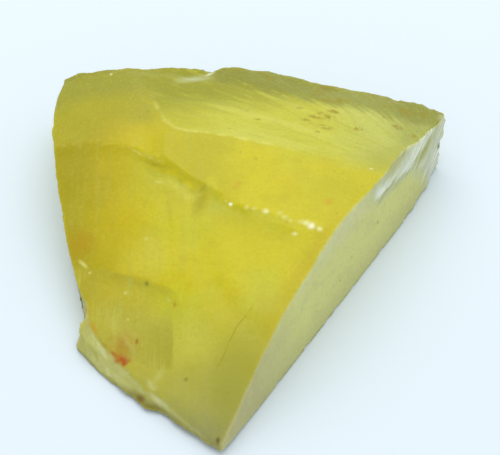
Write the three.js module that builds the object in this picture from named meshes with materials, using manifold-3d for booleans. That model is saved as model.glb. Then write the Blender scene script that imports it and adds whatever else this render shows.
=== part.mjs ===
// A raw lump of milky yellow quartz, in one piece. It lies on a flat break, its right side is sawn
// flat, and every other face is a shell-shaped break with shallow scars, ledges and chipped edges.
// Millimetres: x to the right, y to the back, z up from the surface that the lump lies on. The places
// below are measured from a point under the front half; the last lines centre the finished part.

import * as THREE from "three";
import { ImprovedNoise } from "three/addons/math/ImprovedNoise.js";
import { mergeVertices } from "three/addons/utils/BufferGeometryUtils.js";
import Module from "manifold-3d";

const wasm = await Module();
wasm.setup();

const point = (x, y, z) => new THREE.Vector3(x, y, z);
const degrees = THREE.MathUtils.degToRad;
const noise = new ImprovedNoise();

// The block that the faces are broken off, and a place well inside the stone.
const BLOCK = { width: 62, depth: 64, height: 17 };
const BLOCK_CENTRE_Y = 5;
const HEART = point(0, 8, 6);

// Corners and other places on the surface that two or three faces share.
const TIP = point(-3.9, -23.3, 1.2);
const SAWN_FOOT_FRONT = point(0.5, -17.5, 0);
const SAWN_FOOT_BACK = point(21.3, 13.9, 0);
const ARRIS_PEAK = point(12, 3.4, 13.7);
const ARRIS_RIDGE = point(18.7, 12.9, 12.2);
const BACK_RIGHT_TOP = point(27.4, 25.4, 9.1);
const BACK_RIGHT_FOOT = point(26.6, 23.9, 0);
const RIDGE_MIDDLE = point(0, 16, 13.4);
const RIDGE_LEFT = point(-11, 19, 13.7);
const RIM_LEFT = point(-24.6, 32.7, 10);
const RIM_MIDDLE = point(-2, 33.6, 10.5);
const RIM_RIGHT = point(26.6, 26.2, 9.1);
const LEFT_EDGE_BACK = point(-26.3, 31.6, 9.5);
const LEFT_EDGE_TOP = point(-27.5, 20.9, 9.2);
const LEFT_EDGE_MIDDLE = point(-24.6, 7.3, 6.2);
const LEFT_EDGE_LOW = point(-21.4, -5.5, 4.6);
const LEFT_FOOT = point(-22.4, -6.8, 0.8);
const LEDGE_LEFT = point(-19, 18.3, 10.6);
const LEDGE_CUSP = point(-5.6, 9.2, 13);
const LEDGE_RIGHT = point(2, 3.8, 12.8);
const PATCH_CORNER = point(-9.8, -4.5, 7.1);
const STRIP_TOP_LEFT = point(-18.5, -9.6, 3.2);
const STRIP_TOP_RIGHT = point(-10.2, -17.9, 1.5);

// The sawn side leans back a little from its foot.
const SAWN_LEAN = 8;
const SAWN_TOP_Z = 10;
const sawnRun = SAWN_FOOT_BACK.clone().sub(SAWN_FOOT_FRONT).normalize();
const sawnOut = point(sawnRun.y, -sawnRun.x, 0);
const SAWN_TOP = SAWN_FOOT_FRONT.clone()
  .addScaledVector(sawnOut, -SAWN_TOP_Z * Math.tan(degrees(SAWN_LEAN)))
  .setZ(SAWN_TOP_Z);

// Each waste slab is wide and thick enough to clear everything outside its face.
const SLAB_SIZE = 120;
const SLAB_THICKNESS = 40;
const WELD = 1e-4;

// The solid inside a closed geometry.
function solidOf(geometry) {
  const bare = geometry.clone();
  bare.deleteAttribute("normal");
  bare.deleteAttribute("uv");
  const merged = mergeVertices(bare, WELD);
  const triVerts = new Uint32Array(merged.index.array);
  const vertProperties = merged.attributes.position.array;
  return new wasm.Manifold(new wasm.Mesh({ numProp: 3, vertProperties, triVerts }));
}

// A face's own frame: its x axis runs from the first place to the second, its z axis out of the stone.
function frameThrough([a, b, c]) {
  const centre = a.clone().add(b).add(c).divideScalar(3);
  const along = b.clone().sub(a).normalize();
  const out = along.clone().cross(c.clone().sub(a)).normalize();
  if (out.dot(centre.clone().sub(HEART)) < 0) {
    out.negate();
  }
  const across = out.clone().cross(along);
  return new THREE.Matrix4().makeBasis(along, across, out).setPosition(centre);
}

// How far a face stands out of its plane at (x, y): broad swells and hollows, rings that spread from
// the place that was struck, streaks along the face, a fine grain, and lips where the break ends.
function reliefOf({ swells = [], rings, streaks, grain, lips = [] }, toFace) {
  const local = (place) => place.clone().applyMatrix4(toFace);
  const broad = swells.map((swell) => ({ ...swell, centre: local(swell.at) }));
  const struck = rings && local(rings.from);
  const ends = lips.map((lip) => ({ ...lip, centre: local(lip.at) }));
  return (x, y) => {
    let height = 0;
    for (const { centre, height: rise, reach } of broad) {
      const distance = Math.hypot(x - centre.x, y - centre.y);
      height += rise * Math.exp(-((distance / reach) ** 2));
    }
    if (rings) {
      const distance = Math.hypot(x - struck.x, y - struck.y);
      const wander = noise.noise(x / rings.pitch / 3, y / rings.pitch / 3, 7);
      height += rings.height * Math.sin((2 * Math.PI * distance) / rings.pitch + 2 * wander);
    }
    if (streaks) {
      const turn = degrees(streaks.turn);
      const over = (y * Math.cos(turn) - x * Math.sin(turn)) / streaks.width;
      const down = (x * Math.cos(turn) + y * Math.sin(turn)) / streaks.length;
      height += streaks.height * noise.noise(over, down, 3);
    }
    if (grain) {
      height += grain.height * noise.noise(x / grain.size, y / grain.size, 11);
    }
    for (const { centre, turn = 0, radius, steepness } of ends) {
      const angle = degrees(turn);
      const along = (x - centre.x) * Math.cos(angle) + (y - centre.y) * Math.sin(angle);
      const beyond = (y - centre.y) * Math.cos(angle) - (x - centre.x) * Math.sin(angle);
      height += Math.max(0, beyond + along ** 2 / (2 * radius)) * steepness;
    }
    return height;
  };
}

// The waste outside one face: a thick slab whose inner side has the face's relief.
function wasteBeyond(face) {
  const toWorld = frameThrough(face.through);
  const relief = reliefOf(face, toWorld.clone().invert());
  const [along, across] = face.cell ?? [SLAB_SIZE, SLAB_SIZE];
  const slab = new THREE.BoxGeometry(
    SLAB_SIZE,
    SLAB_SIZE,
    SLAB_THICKNESS,
    Math.round(SLAB_SIZE / along),
    Math.round(SLAB_SIZE / across),
  );
  slab.translate(0, 0, SLAB_THICKNESS / 2);
  const position = slab.attributes.position;
  for (let i = 0; i < position.count; i += 1) {
    if (position.getZ(i) < WELD) {
      position.setZ(i, relief(position.getX(i), position.getY(i)));
    }
  }
  return solidOf(slab.applyMatrix4(toWorld));
}

// A flake's scar: a lumpy ellipsoid whose three radii lie along, across and out of the place it bit.
const LUMPS_PER_RADIUS = 2.3;

function flake({ at, run, out, radii, lumps = 0.06, detail = 5 }) {
  const along = run.clone().addScaledVector(out, -run.dot(out) / out.lengthSq()).normalize();
  const outward = out.clone().normalize();
  const across = outward.clone().cross(along);
  const ball = new THREE.IcosahedronGeometry(1, detail);
  const position = ball.attributes.position;
  for (let i = 0; i < position.count; i += 1) {
    const spot = point(position.getX(i), position.getY(i), position.getZ(i));
    const seat = spot.clone().multiplyScalar(LUMPS_PER_RADIUS).add(at);
    spot.multiplyScalar(1 + lumps * noise.noise(seat.x, seat.y, seat.z));
    position.setXYZ(i, spot.x, spot.y, spot.z);
  }
  ball.scale(...radii);
  ball.applyMatrix4(new THREE.Matrix4().makeBasis(along, across, outward).setPosition(at));
  return solidOf(ball);
}

// The broken and sawn faces. Where a face has a cell size, its relief is modelled on cells that long
// and that wide.
const FACES = {
  sawnSide: { through: [SAWN_FOOT_FRONT, SAWN_FOOT_BACK, SAWN_TOP] },
  hackleCorner: {
    through: [point(23.3, 17.6, 0), BACK_RIGHT_FOOT, point(27.4, 25.4, 9.5)],
    cell: [1.1, 1.1],
    streaks: { height: 0.5, width: 1.4, length: 6, turn: 60 },
    grain: { height: 0.2, size: 1.6 },
  },
  rightSlope: {
    through: [LEDGE_CUSP.clone().setZ(12.9), point(10.9, 0.6, 12.9), TIP],
    cell: [1.1, 1.1],
    swells: [
      { at: point(1, -9, 9), height: 1.8, reach: 12 },
      { at: point(5, 0, 12), height: -0.5, reach: 5 },
    ],
    rings: { from: ARRIS_PEAK, height: 0.06, pitch: 5 },
    grain: { height: 0.12, size: 4 },
    lips: [{ at: LEDGE_RIGHT, radius: -60, steepness: 0.7 }],
  },
  leftSlope: {
    through: [point(-26.4, 17.5, 8.9), point(-8, 10, 13), LEFT_EDGE_MIDDLE],
    cell: [1.2, 1.2],
    swells: [
      { at: point(-14, 3, 9), height: 0.5, reach: 9 },
      { at: point(-17, 13, 10), height: -0.35, reach: 6 },
    ],
    grain: { height: 0.12, size: 4 },
    lips: [{ at: LEDGE_LEFT, radius: 14, steepness: 0.6 }],
  },
  lowerLeftPatch: {
    through: [point(-20.1, 0.2, 5.6), PATCH_CORNER, point(-9.6, -11.4, 4.7)],
    cell: [1.2, 1.2],
    swells: [{ at: STRIP_TOP_LEFT, height: 0.5, reach: 3 }],
    grain: { height: 0.15, size: 3 },
    lips: [
      { at: point(-15, -1.6, 6), radius: 60, steepness: 0.8 },
      { at: PATCH_CORNER, turn: -65, radius: 60, steepness: 0.5 },
    ],
  },
  orangeFace: {
    through: [LEDGE_CUSP.clone().setZ(13.4), ARRIS_RIDGE, RIDGE_MIDDLE],
    cell: [1.4, 1.4],
    swells: [{ at: ARRIS_PEAK, height: 1, reach: 6 }],
    grain: { height: 0.1, size: 5 },
  },
  upperBand: {
    through: [RIDGE_MIDDLE, ARRIS_RIDGE, RIM_MIDDLE],
    cell: [2, 0.9],
    swells: [{ at: point(10, 22, 12), height: 0.4, reach: 8 }],
    streaks: { height: 0.35, width: 1.8, length: 14, turn: 0 },
    grain: { height: 0.15, size: 2.5 },
  },
  rimStrip: {
    through: [point(2, 32, 10.75), point(24, 25.2, 10), point(14, 30.4, 9.75)],
    cell: [1.8, 1.2],
    grain: { height: 0.3, size: 2.2 },
  },
  upperLeft: {
    through: [LEFT_EDGE_TOP, RIDGE_LEFT, LEFT_EDGE_BACK],
    cell: [1.4, 1.4],
    swells: [{ at: point(-19, 25, 11.5), height: 0.4, reach: 7 }],
    grain: { height: 0.15, size: 3.5 },
  },
  leftSide: {
    through: [LEFT_EDGE_LOW, LEFT_EDGE_TOP, point(-24.2, 7, 0)],
    cell: [1.6, 1.6],
    swells: [
      { at: point(-25.5, 8, 7), height: 0.4, reach: 8 },
      { at: LEFT_FOOT, height: 1.7, reach: 3.2 },
      { at: point(-25, 17, 0), height: -1.8, reach: 6.5 },
    ],
    grain: { height: 0.3, size: 4 },
  },
  lowerLeftStrip: {
    through: [STRIP_TOP_LEFT, STRIP_TOP_RIGHT, point(-15.9, -14.6, 0.2)],
    cell: [1.2, 1.2],
    swells: [{ at: point(-13.3, -18.3, 0.4), height: 0.6, reach: 1.8 }],
    grain: { height: 0.3, size: 2.5 },
  },
  leftFoot: {
    through: [point(-19.9, -10.9, 0), point(-22.4, -7.4, 0.5), point(-20.6, -8.2, 3.6)],
    cell: [1.6, 1.6],
    grain: { height: 0.2, size: 2 },
  },
  tipUnderside: {
    through: [point(-18, -10, 0), point(2, -17.5, 0), point(-4, -23.3, 0.7)],
    cell: [2, 2],
    grain: { height: 0.1, size: 3 },
  },
  backLeftCorner: {
    through: [point(-27.4, 25, 9.4), point(-26.7, 31.4, 9.6), point(-26.9, 28.3, 0)],
    cell: [1.8, 1.8],
    grain: { height: 0.3, size: 3 },
  },
  backLeft: {
    through: [RIM_LEFT, RIM_MIDDLE, point(-14, 34.5, 0)],
    cell: [1.6, 1.6],
    rings: { from: RIM_MIDDLE, height: 0.15, pitch: 4.5 },
    grain: { height: 0.5, size: 5 },
  },
  backRight: {
    through: [point(1, 34.1, 10.3), RIM_RIGHT, point(12, 28.8, 0)],
    cell: [1.6, 1.6],
    rings: { from: point(20, 28, 0), height: 0.15, pitch: 4 },
    swells: [{ at: point(21, 28, 9), height: 1.0, reach: 6 }],
    grain: { height: 0.5, size: 5 },
  },
};

// Single scars: the notch in the back rim, the feathered bite along the arris next to the back right
// corner, the hollow above the left foot, and the bite at the right end of the lower left strip.
const SCARS = {
  rimNotch: {
    at: point(-7.5, 32.6, 13),
    run: point(1, -0.1, 0),
    out: point(0, 0, 1),
    radii: [5.2, 3, 2.6],
  },
  arrisBite: {
    at: point(21.9, 15.2, 11.2),
    run: sawnRun,
    out: point(0.8, -0.53, 0.3),
    radii: [7, 4.4, 1.6],
  },
  footNotch: {
    at: point(-22.9, -3.7, 2.8),
    run: point(0.2, 1, 0),
    out: point(-1, -0.2, 0.15),
    radii: [1.9, 2, 1.2],
  },
  stripBite: {
    at: point(-10.4, -19.2, 1.6),
    run: point(0.8, -0.6, 0),
    out: point(-0.6, -0.8, 0.2),
    radii: [1.6, 1.4, 1],
  },
};

// Edges that are nicked all along: how many nicks, and how deep the largest one is.
const NICKED_EDGES = [
  { from: SAWN_FOOT_BACK, to: SAWN_FOOT_FRONT, nicks: 7, depth: 0.5 },
  { from: point(-21, 33, 10), to: RIM_MIDDLE, nicks: 5, depth: 0.7 },
  { from: point(1, 34.1, 10.3), to: point(14, 30.8, 9.8), nicks: 4, depth: 0.55 },
  { from: point(20, 29, 9.3), to: RIM_RIGHT, nicks: 3, depth: 0.6 },
  { from: BACK_RIGHT_FOOT, to: BACK_RIGHT_TOP, nicks: 3, depth: 0.7 },
];
// A nick's smallest share of its edge's depth, and its shape in multiples of its own depth.
const NICK = { seed: 11, smallest: 0.6, outset: 0.6, length: [1.6, 3], width: 1.3, lumps: 0.3 };

// One nick: a small flake whose size and place along its edge are drawn from the seeded row.
function nick({ from, to, depth }) {
  const between = (low, high) => THREE.MathUtils.lerp(low, high, THREE.MathUtils.seededRandom());
  const at = from.clone().lerp(to, between(0, 1));
  const size = depth * between(NICK.smallest, 1);
  const run = to.clone().sub(from);
  const out = at.clone().sub(HEART).setZ(at.z).normalize();
  at.addScaledVector(out, NICK.outset * size);
  const radii = [size * between(...NICK.length), size * NICK.width, size];
  return flake({ at, run, out, radii, lumps: NICK.lumps, detail: 1 });
}

const block = new THREE.BoxGeometry(BLOCK.width, BLOCK.depth, BLOCK.height);
block.translate(0, BLOCK_CENTRE_Y, BLOCK.height / 2);
let stone = solidOf(block);
for (const face of Object.values(FACES)) {
  stone = stone.subtract(wasteBeyond(face));
}
for (const scar of Object.values(SCARS)) {
  stone = stone.subtract(flake(scar));
}
THREE.MathUtils.seededRandom(NICK.seed);
for (const edge of NICKED_EDGES) {
  for (let i = 0; i < edge.nicks; i += 1) {
    stone = stone.subtract(nick(edge));
  }
}

const { vertProperties, triVerts } = stone.getMesh();
const surface = new THREE.BufferGeometry();
surface.setAttribute("position", new THREE.BufferAttribute(vertProperties, 3));
surface.setIndex(new THREE.BufferAttribute(triVerts, 1));
surface.computeVertexNormals();

const quartz = new THREE.MeshStandardMaterial({ color: "#c8c044", roughness: 0.35, metalness: 0 });
const citrine = new THREE.Mesh(surface, quartz);
citrine.name = "citrine";

// The part's origin lies on its resting face, below the middle of its width and its length.
surface.computeBoundingBox();
const middle = surface.boundingBox.getCenter(new THREE.Vector3());
citrine.position.set(-middle.x, -middle.y, -surface.boundingBox.min.z);

const part = new THREE.Group();
part.add(citrine);

export default part;
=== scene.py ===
# %% [markdown]
# # A raw lump of milky citrine
# The stone is one piece of yellow quartz. It broke along shell-shaped faces and one side was sawn
# flat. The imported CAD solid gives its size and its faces. This lesson makes the finished surface
# around that frame: a fine mesh with ripples, hackles and knobs, and one procedural stone finish.

# %% Load the frame
import math

import bmesh
import bpy
import numpy as np
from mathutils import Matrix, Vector, noise
from mathutils.bvhtree import BVHTree


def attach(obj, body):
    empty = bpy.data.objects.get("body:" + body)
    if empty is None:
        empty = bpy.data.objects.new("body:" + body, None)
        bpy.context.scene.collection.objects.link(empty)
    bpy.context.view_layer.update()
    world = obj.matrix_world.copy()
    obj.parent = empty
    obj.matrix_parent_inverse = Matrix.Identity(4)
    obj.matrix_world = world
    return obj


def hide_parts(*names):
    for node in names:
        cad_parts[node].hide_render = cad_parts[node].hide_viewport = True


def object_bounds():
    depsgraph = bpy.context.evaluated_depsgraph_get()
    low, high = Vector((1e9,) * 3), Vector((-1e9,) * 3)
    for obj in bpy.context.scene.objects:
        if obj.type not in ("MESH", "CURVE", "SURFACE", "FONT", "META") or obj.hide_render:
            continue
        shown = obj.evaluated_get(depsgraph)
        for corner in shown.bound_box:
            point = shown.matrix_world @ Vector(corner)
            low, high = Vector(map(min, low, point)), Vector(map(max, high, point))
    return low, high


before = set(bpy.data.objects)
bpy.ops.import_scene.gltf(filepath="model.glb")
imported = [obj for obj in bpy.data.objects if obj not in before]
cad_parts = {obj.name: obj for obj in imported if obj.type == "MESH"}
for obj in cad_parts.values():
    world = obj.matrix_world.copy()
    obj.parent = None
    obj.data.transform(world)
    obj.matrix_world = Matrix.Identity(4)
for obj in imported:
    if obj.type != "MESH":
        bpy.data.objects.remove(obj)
cad_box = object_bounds()
print("CAD box in metres:", [[round(c, 4) for c in corner] for corner in cad_box])

# %% [markdown]
# ## Camera
# The photographer looked down on the stone from the front, at about 50 degrees, through a long
# lens, which shows the far rim nearly as large as the near foot.

# %% Camera
MM = 0.001
LOOK_DOWN_DEGREES = 50
LENS_MM = 100
DISTANCE_MM = 185
AIM_MM = Vector((0.0, 2.2, 6.0))


def add(name, data):
    """Puts an object with this data into the scene."""
    made = bpy.data.objects.new(name, data)
    bpy.context.scene.collection.objects.link(made)
    return made


down = math.radians(LOOK_DOWN_DEGREES)
camera_data = bpy.data.cameras.new("camera")
camera_data.lens = LENS_MM
camera_data.clip_start = 0.01
camera = add("camera", camera_data)
camera.location = (AIM_MM + Vector((0, -math.cos(down), math.sin(down))) * DISTANCE_MM) * MM
camera.rotation_euler = (math.pi / 2 - down, 0, 0)
bpy.context.scene.camera = camera
print("camera at", [round(c, 3) for c in camera.location])

# %% [markdown]
# ## The stone's body
# The CAD solid has flat facets a millimetre or two wide. A real break is smooth between its
# edges, so a copy of the solid is remeshed into small even cells, and the places away from the
# edges are relaxed. That melts the facets but keeps the ledges and the sawn edge. The far rim,
# which is worn rounder than the rest, is relaxed a little too.

# %% A finer copy of the solid
CELL_MM = 0.27
CREASE_DEGREES = 16
FACET_PASSES = 30
EDGE_PASSES = 1
EDGE_HOLD = 0.85
FAR_RIM_FROM_MM = (17.0, 19.5, 7.0)
RIM_PASSES = 4
SAME_PLACE_MM = 0.001


def finer_copy(node, name):
    """The node's solid as one even mesh of small cells."""
    mesh = node.data.copy()
    mesh.name = name
    merged = bmesh.new()
    merged.from_mesh(mesh)
    bmesh.ops.remove_doubles(merged, verts=merged.verts, dist=SAME_PLACE_MM * MM)
    merged.to_mesh(mesh)
    merged.free()
    mesh.materials.clear()
    piece = add(name, mesh)
    remesh = piece.modifiers.new("cells", "REMESH")
    remesh.mode = "VOXEL"
    remesh.voxel_size = CELL_MM * MM
    remesh.use_smooth_shade = True
    seen = bpy.context.evaluated_depsgraph_get()
    piece.data = bpy.data.meshes.new_from_object(piece.evaluated_get(seen))
    piece.data.name = name
    piece.modifiers.clear()
    return piece


def is_creased(vertex):
    """Whether the surface turns sharply at this vertex."""
    turns = (edge.calc_face_angle(0) for edge in vertex.link_edges)
    return any(turn > math.radians(CREASE_DEGREES) for turn in turns)


def relax(verts, passes):
    """Moves each vertex halfway to the middle of its neighbours, so many times over."""
    every_way = {"use_axis_x": True, "use_axis_y": True, "use_axis_z": True}
    for _ in range(passes):
        bmesh.ops.smooth_vert(skin, verts=verts, factor=0.5, **every_way)


citrine = finer_copy(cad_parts["citrine"], "citrine_stone")
solid = bmesh.new()
solid.from_mesh(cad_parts["citrine"].data)
solid_faces = BVHTree.FromBMesh(solid)
solid.free()
skin = bmesh.new()
skin.from_mesh(citrine.data)
calm = [v for v in skin.verts if not is_creased(v)]
edgy = [v for v in skin.verts if is_creased(v)]
relax(calm, FACET_PASSES)
relax(skin.verts, EDGE_PASSES)
for vertex in edgy:
    on_solid = solid_faces.find_nearest(vertex.co)[0]
    vertex.co = vertex.co.lerp(on_solid, EDGE_HOLD)
far_rim = [v for v in skin.verts if all(c > low * MM for c, low in zip(v.co, FAR_RIM_FROM_MM))]
relax(far_rim, RIM_PASSES)
skin.normal_update()
skin.to_mesh(citrine.data)
skin.free()
print(len(citrine.data.vertices), "vertices,", len(calm), "of them away from edges")

# %% [markdown]
# ## Lines on the stone
# Where one break meets another, the finish changes. Each such line is drawn once in plan, as a
# few places in millimetres.

# %% Lines drawn on the stone
LINES = {
    # Foot of the striated band: from the back rim down to the left, then across to the sawn edge.
    "ridge": [(-14.6, 22.5), (-14.2, 21.2), (-12.7, 17.4), (-11.6, 14.8), (-10.3, 13.0),
              (-8.1, 12.4), (-5.6, 12.2), (-3.0, 11.8), (-0.5, 11.2), (2.7, 10.7), (4.5, 10.1),
              (7.7, 9.2), (10.8, 8.3), (12.9, 7.7), (15.8, 7.3), (18.2, 7.0)],
    # Inner side of the darker strip along the back rim.
    "rim": [(-5.0, 25.5), (-3.9, 24.6), (-2.0, 24.5), (0.3, 24.2), (3.6, 22.8), (6.5, 22.3),
            (9.1, 21.0), (11.4, 20.9), (14.7, 20.4), (17.5, 19.7), (20.1, 18.6), (23.4, 17.7),
            (25.2, 17.9)],
    # The ledge under the upper breaks: left arm, cusp, right arm.
    "ledge": [(-27.6, 9.7), (-25.6, 10.3), (-23.6, 11.3), (-21.8, 12.1), (-20.2, 12.3),
              (-18.1, 11.8), (-16.1, 10.7), (-14.0, 8.4), (-12.9, 7.1), (-11.4, 5.9), (-9.6, 5.1),
              (-7.9, 3.2), (-7.1, 3.0), (-5.2, 4.2), (-4.4, 2.5), (-3.5, 1.2), (-2.6, 0.5),
              (-0.8, -0.2), (0.9, -0.5), (2.0, -0.8), (3.3, -1.6), (4.8, -2.1), (6.4, -2.9),
              (7.7, -3.3), (8.6, -3.8), (10.1, -4.1), (11.5, -4.2)],
    # A second, higher edge above the left arm of the ledge.
    "crest": [(-25.6, 10.4), (-23.6, 11.4), (-21.8, 12.2), (-20.2, 12.4), (-18.1, 11.9),
              (-16.1, 10.9), (-14.5, 9.5), (-12.2, 7.7), (-10.5, 6.7), (-9.4, 5.8)],
    # Top, right and lower side of the lower left patch.
    "patch": [(-22.8, -2.8), (-21.0, -4.6), (-19.0, -4.9), (-15.8, -6.7), (-13.3, -8.0),
              (-10.0, -9.5), (-9.8, -10.6), (-9.8, -13.0), (-9.7, -16.2), (-9.6, -19.2),
              (-11.2, -18.9), (-12.8, -18.4), (-14.7, -17.1), (-17.5, -16.3)],
    # Inner edge of the narrow pale strip at the lower left.
    "strip": [(-21.0, -10.8), (-20.6, -11.9), (-19.6, -13.4), (-18.0, -15.6), (-16.2, -17.4),
              (-14.7, -19.0), (-13.2, -20.8), (-12.0, -21.7), (-9.9, -23.5)],
    # Two striae of the band that stand out: a pale one and, higher, a dark one.
    "pale_stria": [(-4.1, 18.0), (-0.8, 17.2), (2.5, 16.1), (6.7, 13.6), (11.0, 11.3),
                   (15.0, 9.1)],
    "dark_stria": [(-9.6, 19.4), (-4.4, 20.9), (-1.7, 21.8), (1.1, 21.1), (3.6, 20.2),
                   (6.2, 18.5), (8.9, 16.9)],
    # A fine crack on the front slope.
    "crack": [(-0.3, -14.3), (-1.6, -15.7), (-2.7, -17.6), (-3.3, -18.9), (-4.1, -20.1)],
}
print(len(LINES), "lines through", sum(len(line) for line in LINES.values()), "places")

# %% [markdown]
# For every vertex the script works out two lengths: how far along the line it lies, and how far
# to the side (left of the walk is positive). Finish and relief both read them.

# %% Lengths along and aside


def along_and_aside(places, line):
    """Lengths along and to the left of a line, in its unit. Its end pieces run on for ever."""
    line = np.array(line, float)
    starts, steps = line[:-1], np.diff(line, axis=0)
    lengths = np.hypot(steps[:, 0], steps[:, 1])
    before = np.concatenate([[0], np.cumsum(lengths)[:-1]])
    ways = steps / lengths[:, None]
    lefts = np.stack([-ways[:, 1], ways[:, 0]], 1)
    best = np.full(len(places), np.inf)
    along = np.zeros(len(places))
    aside = np.zeros(len(places))
    last = len(starts) - 1
    for i, (start, way, length) in enumerate(zip(starts, ways, lengths)):
        gap = places - start
        run = gap @ way
        kept = np.clip(run, -np.inf if i == 0 else 0, np.inf if i == last else length)
        off = gap - kept[:, None] * way
        distance = np.hypot(off[:, 0], off[:, 1])
        # At a corner the side is judged by both pieces that meet there.
        left = np.where((run < 0)[:, None], lefts[i] + lefts[max(i - 1, 0)], lefts[i])
        left = np.where((run > length)[:, None], lefts[i] + lefts[min(i + 1, last)], left)
        side = np.where((off * left).sum(1) < 0, -1, 1)
        nearer = distance < best
        best[nearer] = distance[nearer]
        along[nearer] = (before[i] + kept)[nearer]
        aside[nearer] = (side * distance)[nearer]
    return along, aside


def ramp(value, low, high):
    """0 below low, 1 above high, with soft ends."""
    t = np.clip((value - low) / (high - low), 0, 1)
    return t * t * (3 - 2 * t)


def near(value, reach):
    """1 at zero, falling off over the reach."""
    return np.exp(-((value / reach) ** 2))


count = len(citrine.data.vertices)
flat_co = np.zeros(count * 3)
citrine.data.vertices.foreach_get("co", flat_co)
places = flat_co.reshape(-1, 3) / MM
normals = np.array([v.normal for v in citrine.data.vertices])
drawn = {name: along_and_aside(places[:, :2], line) for name, line in LINES.items()}
print("lengths along and aside of", len(drawn), "lines at", count, "vertices")

# %% [markdown]
# The traced outline differs from the solid by a few tenths of a millimetre in places. Soft pulls
# correct it: each moves everything near a place by a small shift that fades over the reach.

# %% Small pulls on the outline
PULLS = [
    # place, shift, reach, all in millimetres
    ((-26.2, 26.6, 9.5), (0.15, -0.35, -0.1), 1.3),
    ((-24.2, 27.0, 10.0), (0.0, 0.35, 0.15), 1.1),
    ((-17.8, 27.2, 11.3), (0.0, -0.35, -0.15), 1.8),
    ((-15.5, 27.2, 11.5), (0.0, -0.45, -0.2), 1.7),
    ((-12.5, 27.2, 11.5), (0.0, -0.45, -0.15), 1.5),
    ((-9.6, 27.3, 11.0), (0.0, 0.3, 0.35), 0.9),
    ((-7.0, 27.9, 11.0), (0.0, -0.2, -0.25), 0.8),
    ((-5.6, 27.8, 11.0), (0.0, -0.35, -0.3), 1.0),
    ((-2.3, 28.2, 11.0), (0.0, 0.2, 0.2), 1.6),
    ((-27.2, 21.8, 8.8), (-0.25, 0.0, 0.0), 2.4),
    ((-27.3, 16.9, 8.8), (0.25, 0.0, 0.0), 2.4),
    ((-26.3, 9.5, 8.0), (-0.3, 0.0, 0.1), 3.0),
    ((-22.6, -9.4, 2.4), (0.9, 0.0, 0.0), 2.4),
    ((-22.9, -11.7, 1.4), (0.45, -0.1, 0.0), 1.1),
    ((-22.4, -14.2, 0.8), (-0.65, -0.15, 0.0), 1.3),
    ((-16.6, -20.9, 0.8), (-0.35, -0.4, 0.0), 2.0),
    ((-11.6, -23.2, 0.8), (0.3, 0.35, 0.0), 1.5),
    ((19.6, 23.3, 9.4), (0.0, -0.25, -0.1), 1.3),
    ((21.4, 22.9, 9.3), (0.0, -0.3, -0.15), 1.0),
    ((23.8, 22.3, 9.0), (0.0, 0.35, 0.15), 0.9),
    ((25.2, 21.7, 8.8), (0.0, 0.2, 0.1), 0.9),
]
# The plane of the cut: its near foot, the way along its foot, and the way straight out of it.
SAWN_FOOT = np.array([0.5, -23.0, 0.0])
SAWN_RUN = np.array([0.552, 0.834, 0.0])
SAWN_OUT = np.array([0.826, -0.546, 0.139])
SAWN_FOOT_PULL_MM = 0.22
SAWN_FOOT_TOP_MM = 5
# The run along the cut over which the plain cut gives way to the broken corner.
CORNER_RUN_MM = (27, 31)

# What belongs to the cut faces out of it and lies in its plane. The corner is rougher, so it may
# lie deeper.
facing = normals @ SAWN_OUT
past_cut = (places - SAWN_FOOT) @ SAWN_OUT
run = (places - SAWN_FOOT) @ SAWN_RUN
on_cut = ramp(facing, 0.3, 0.55) * ramp(past_cut, -0.2, -0.06)
on_corner = ramp(facing, 0.62, 0.86) * ramp(past_cut, -2.6, -1.2)
sawn = on_cut + (on_corner - on_cut) * ramp(run, *CORNER_RUN_MM)
for place, shift, reach in PULLS:
    share = near(np.linalg.norm(places - place, axis=1), reach)
    places += share[:, None] * np.array(shift)
foot_share = sawn * ramp(places[:, 2], SAWN_FOOT_TOP_MM, 0)
places += foot_share[:, None] * SAWN_FOOT_PULL_MM * SAWN_OUT * [1, 1, 0]
print(len(PULLS), "pulls; sawn share", round(float(sawn.mean()), 3))

# %% [markdown]
# The sawn side is a plane that leans back 8 degrees. Its top right end was not sawn but broke off
# in white feathered hackles. A height and a run along the foot of the cut tell the two apart. The
# striae of the band run together towards a point beyond the sawn edge, so they are measured by a
# radius and an angle round it.

# %% The hackled corner and the fan of striae
# Both tables are in millimetres: height and run where the hackles start, run and height of the
# foot of the whitest feathers.
HACKLE_START_MM = [(0.0, 45.6), (7.0, 40.5), (8.3, 31.5), (14.0, 29.0)]
HACKLE_BEND = 0.025
WHITE_FOOT_MM = [(31.2, 9.2), (34.1, 9.1), (37.1, 8.6), (40.5, 7.7), (41.6, 8.3), (44.2, 8.7),
                 (45.8, 9.9), (47.5, 11.0)]
FAN_POINT = (29.4, 3.9)
FAN_RADIUS_MM = 22.0

height = places[:, 2].copy()
feather_aside = height - HACKLE_BEND * np.maximum(run - CORNER_RUN_MM[1], 0) ** 2
hackle_from = np.interp(height, *np.array(HACKLE_START_MM).T)
hackled = sawn * ramp(run - hackle_from, -2.0, 2.0)
drawn["white_foot"] = along_and_aside(np.stack([run, height], 1), WHITE_FOOT_MM)
top = ramp(normals[:, 2], 0.15, 0.45)
from_point = places[:, :2] - FAN_POINT
fan_along = np.hypot(*from_point.T)
fan_aside = FAN_RADIUS_MM * np.arctan2(from_point[:, 1], -from_point[:, 0])
print("hackled share", round(float(hackled.mean()), 3))

# %% [markdown]
# ## Relief
# Quartz has no cleavage, so its breaks show curved steps, fine striations and feathered hackles.
# The vertices move by a few hundredths of a millimetre up to a third of one. Each relief is a
# formula of the lines above, so it follows the break and not the world's axes. Only the shelf
# between the crest and the ledge is raised more: there the upper break reaches further down than
# the solid's.

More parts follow.
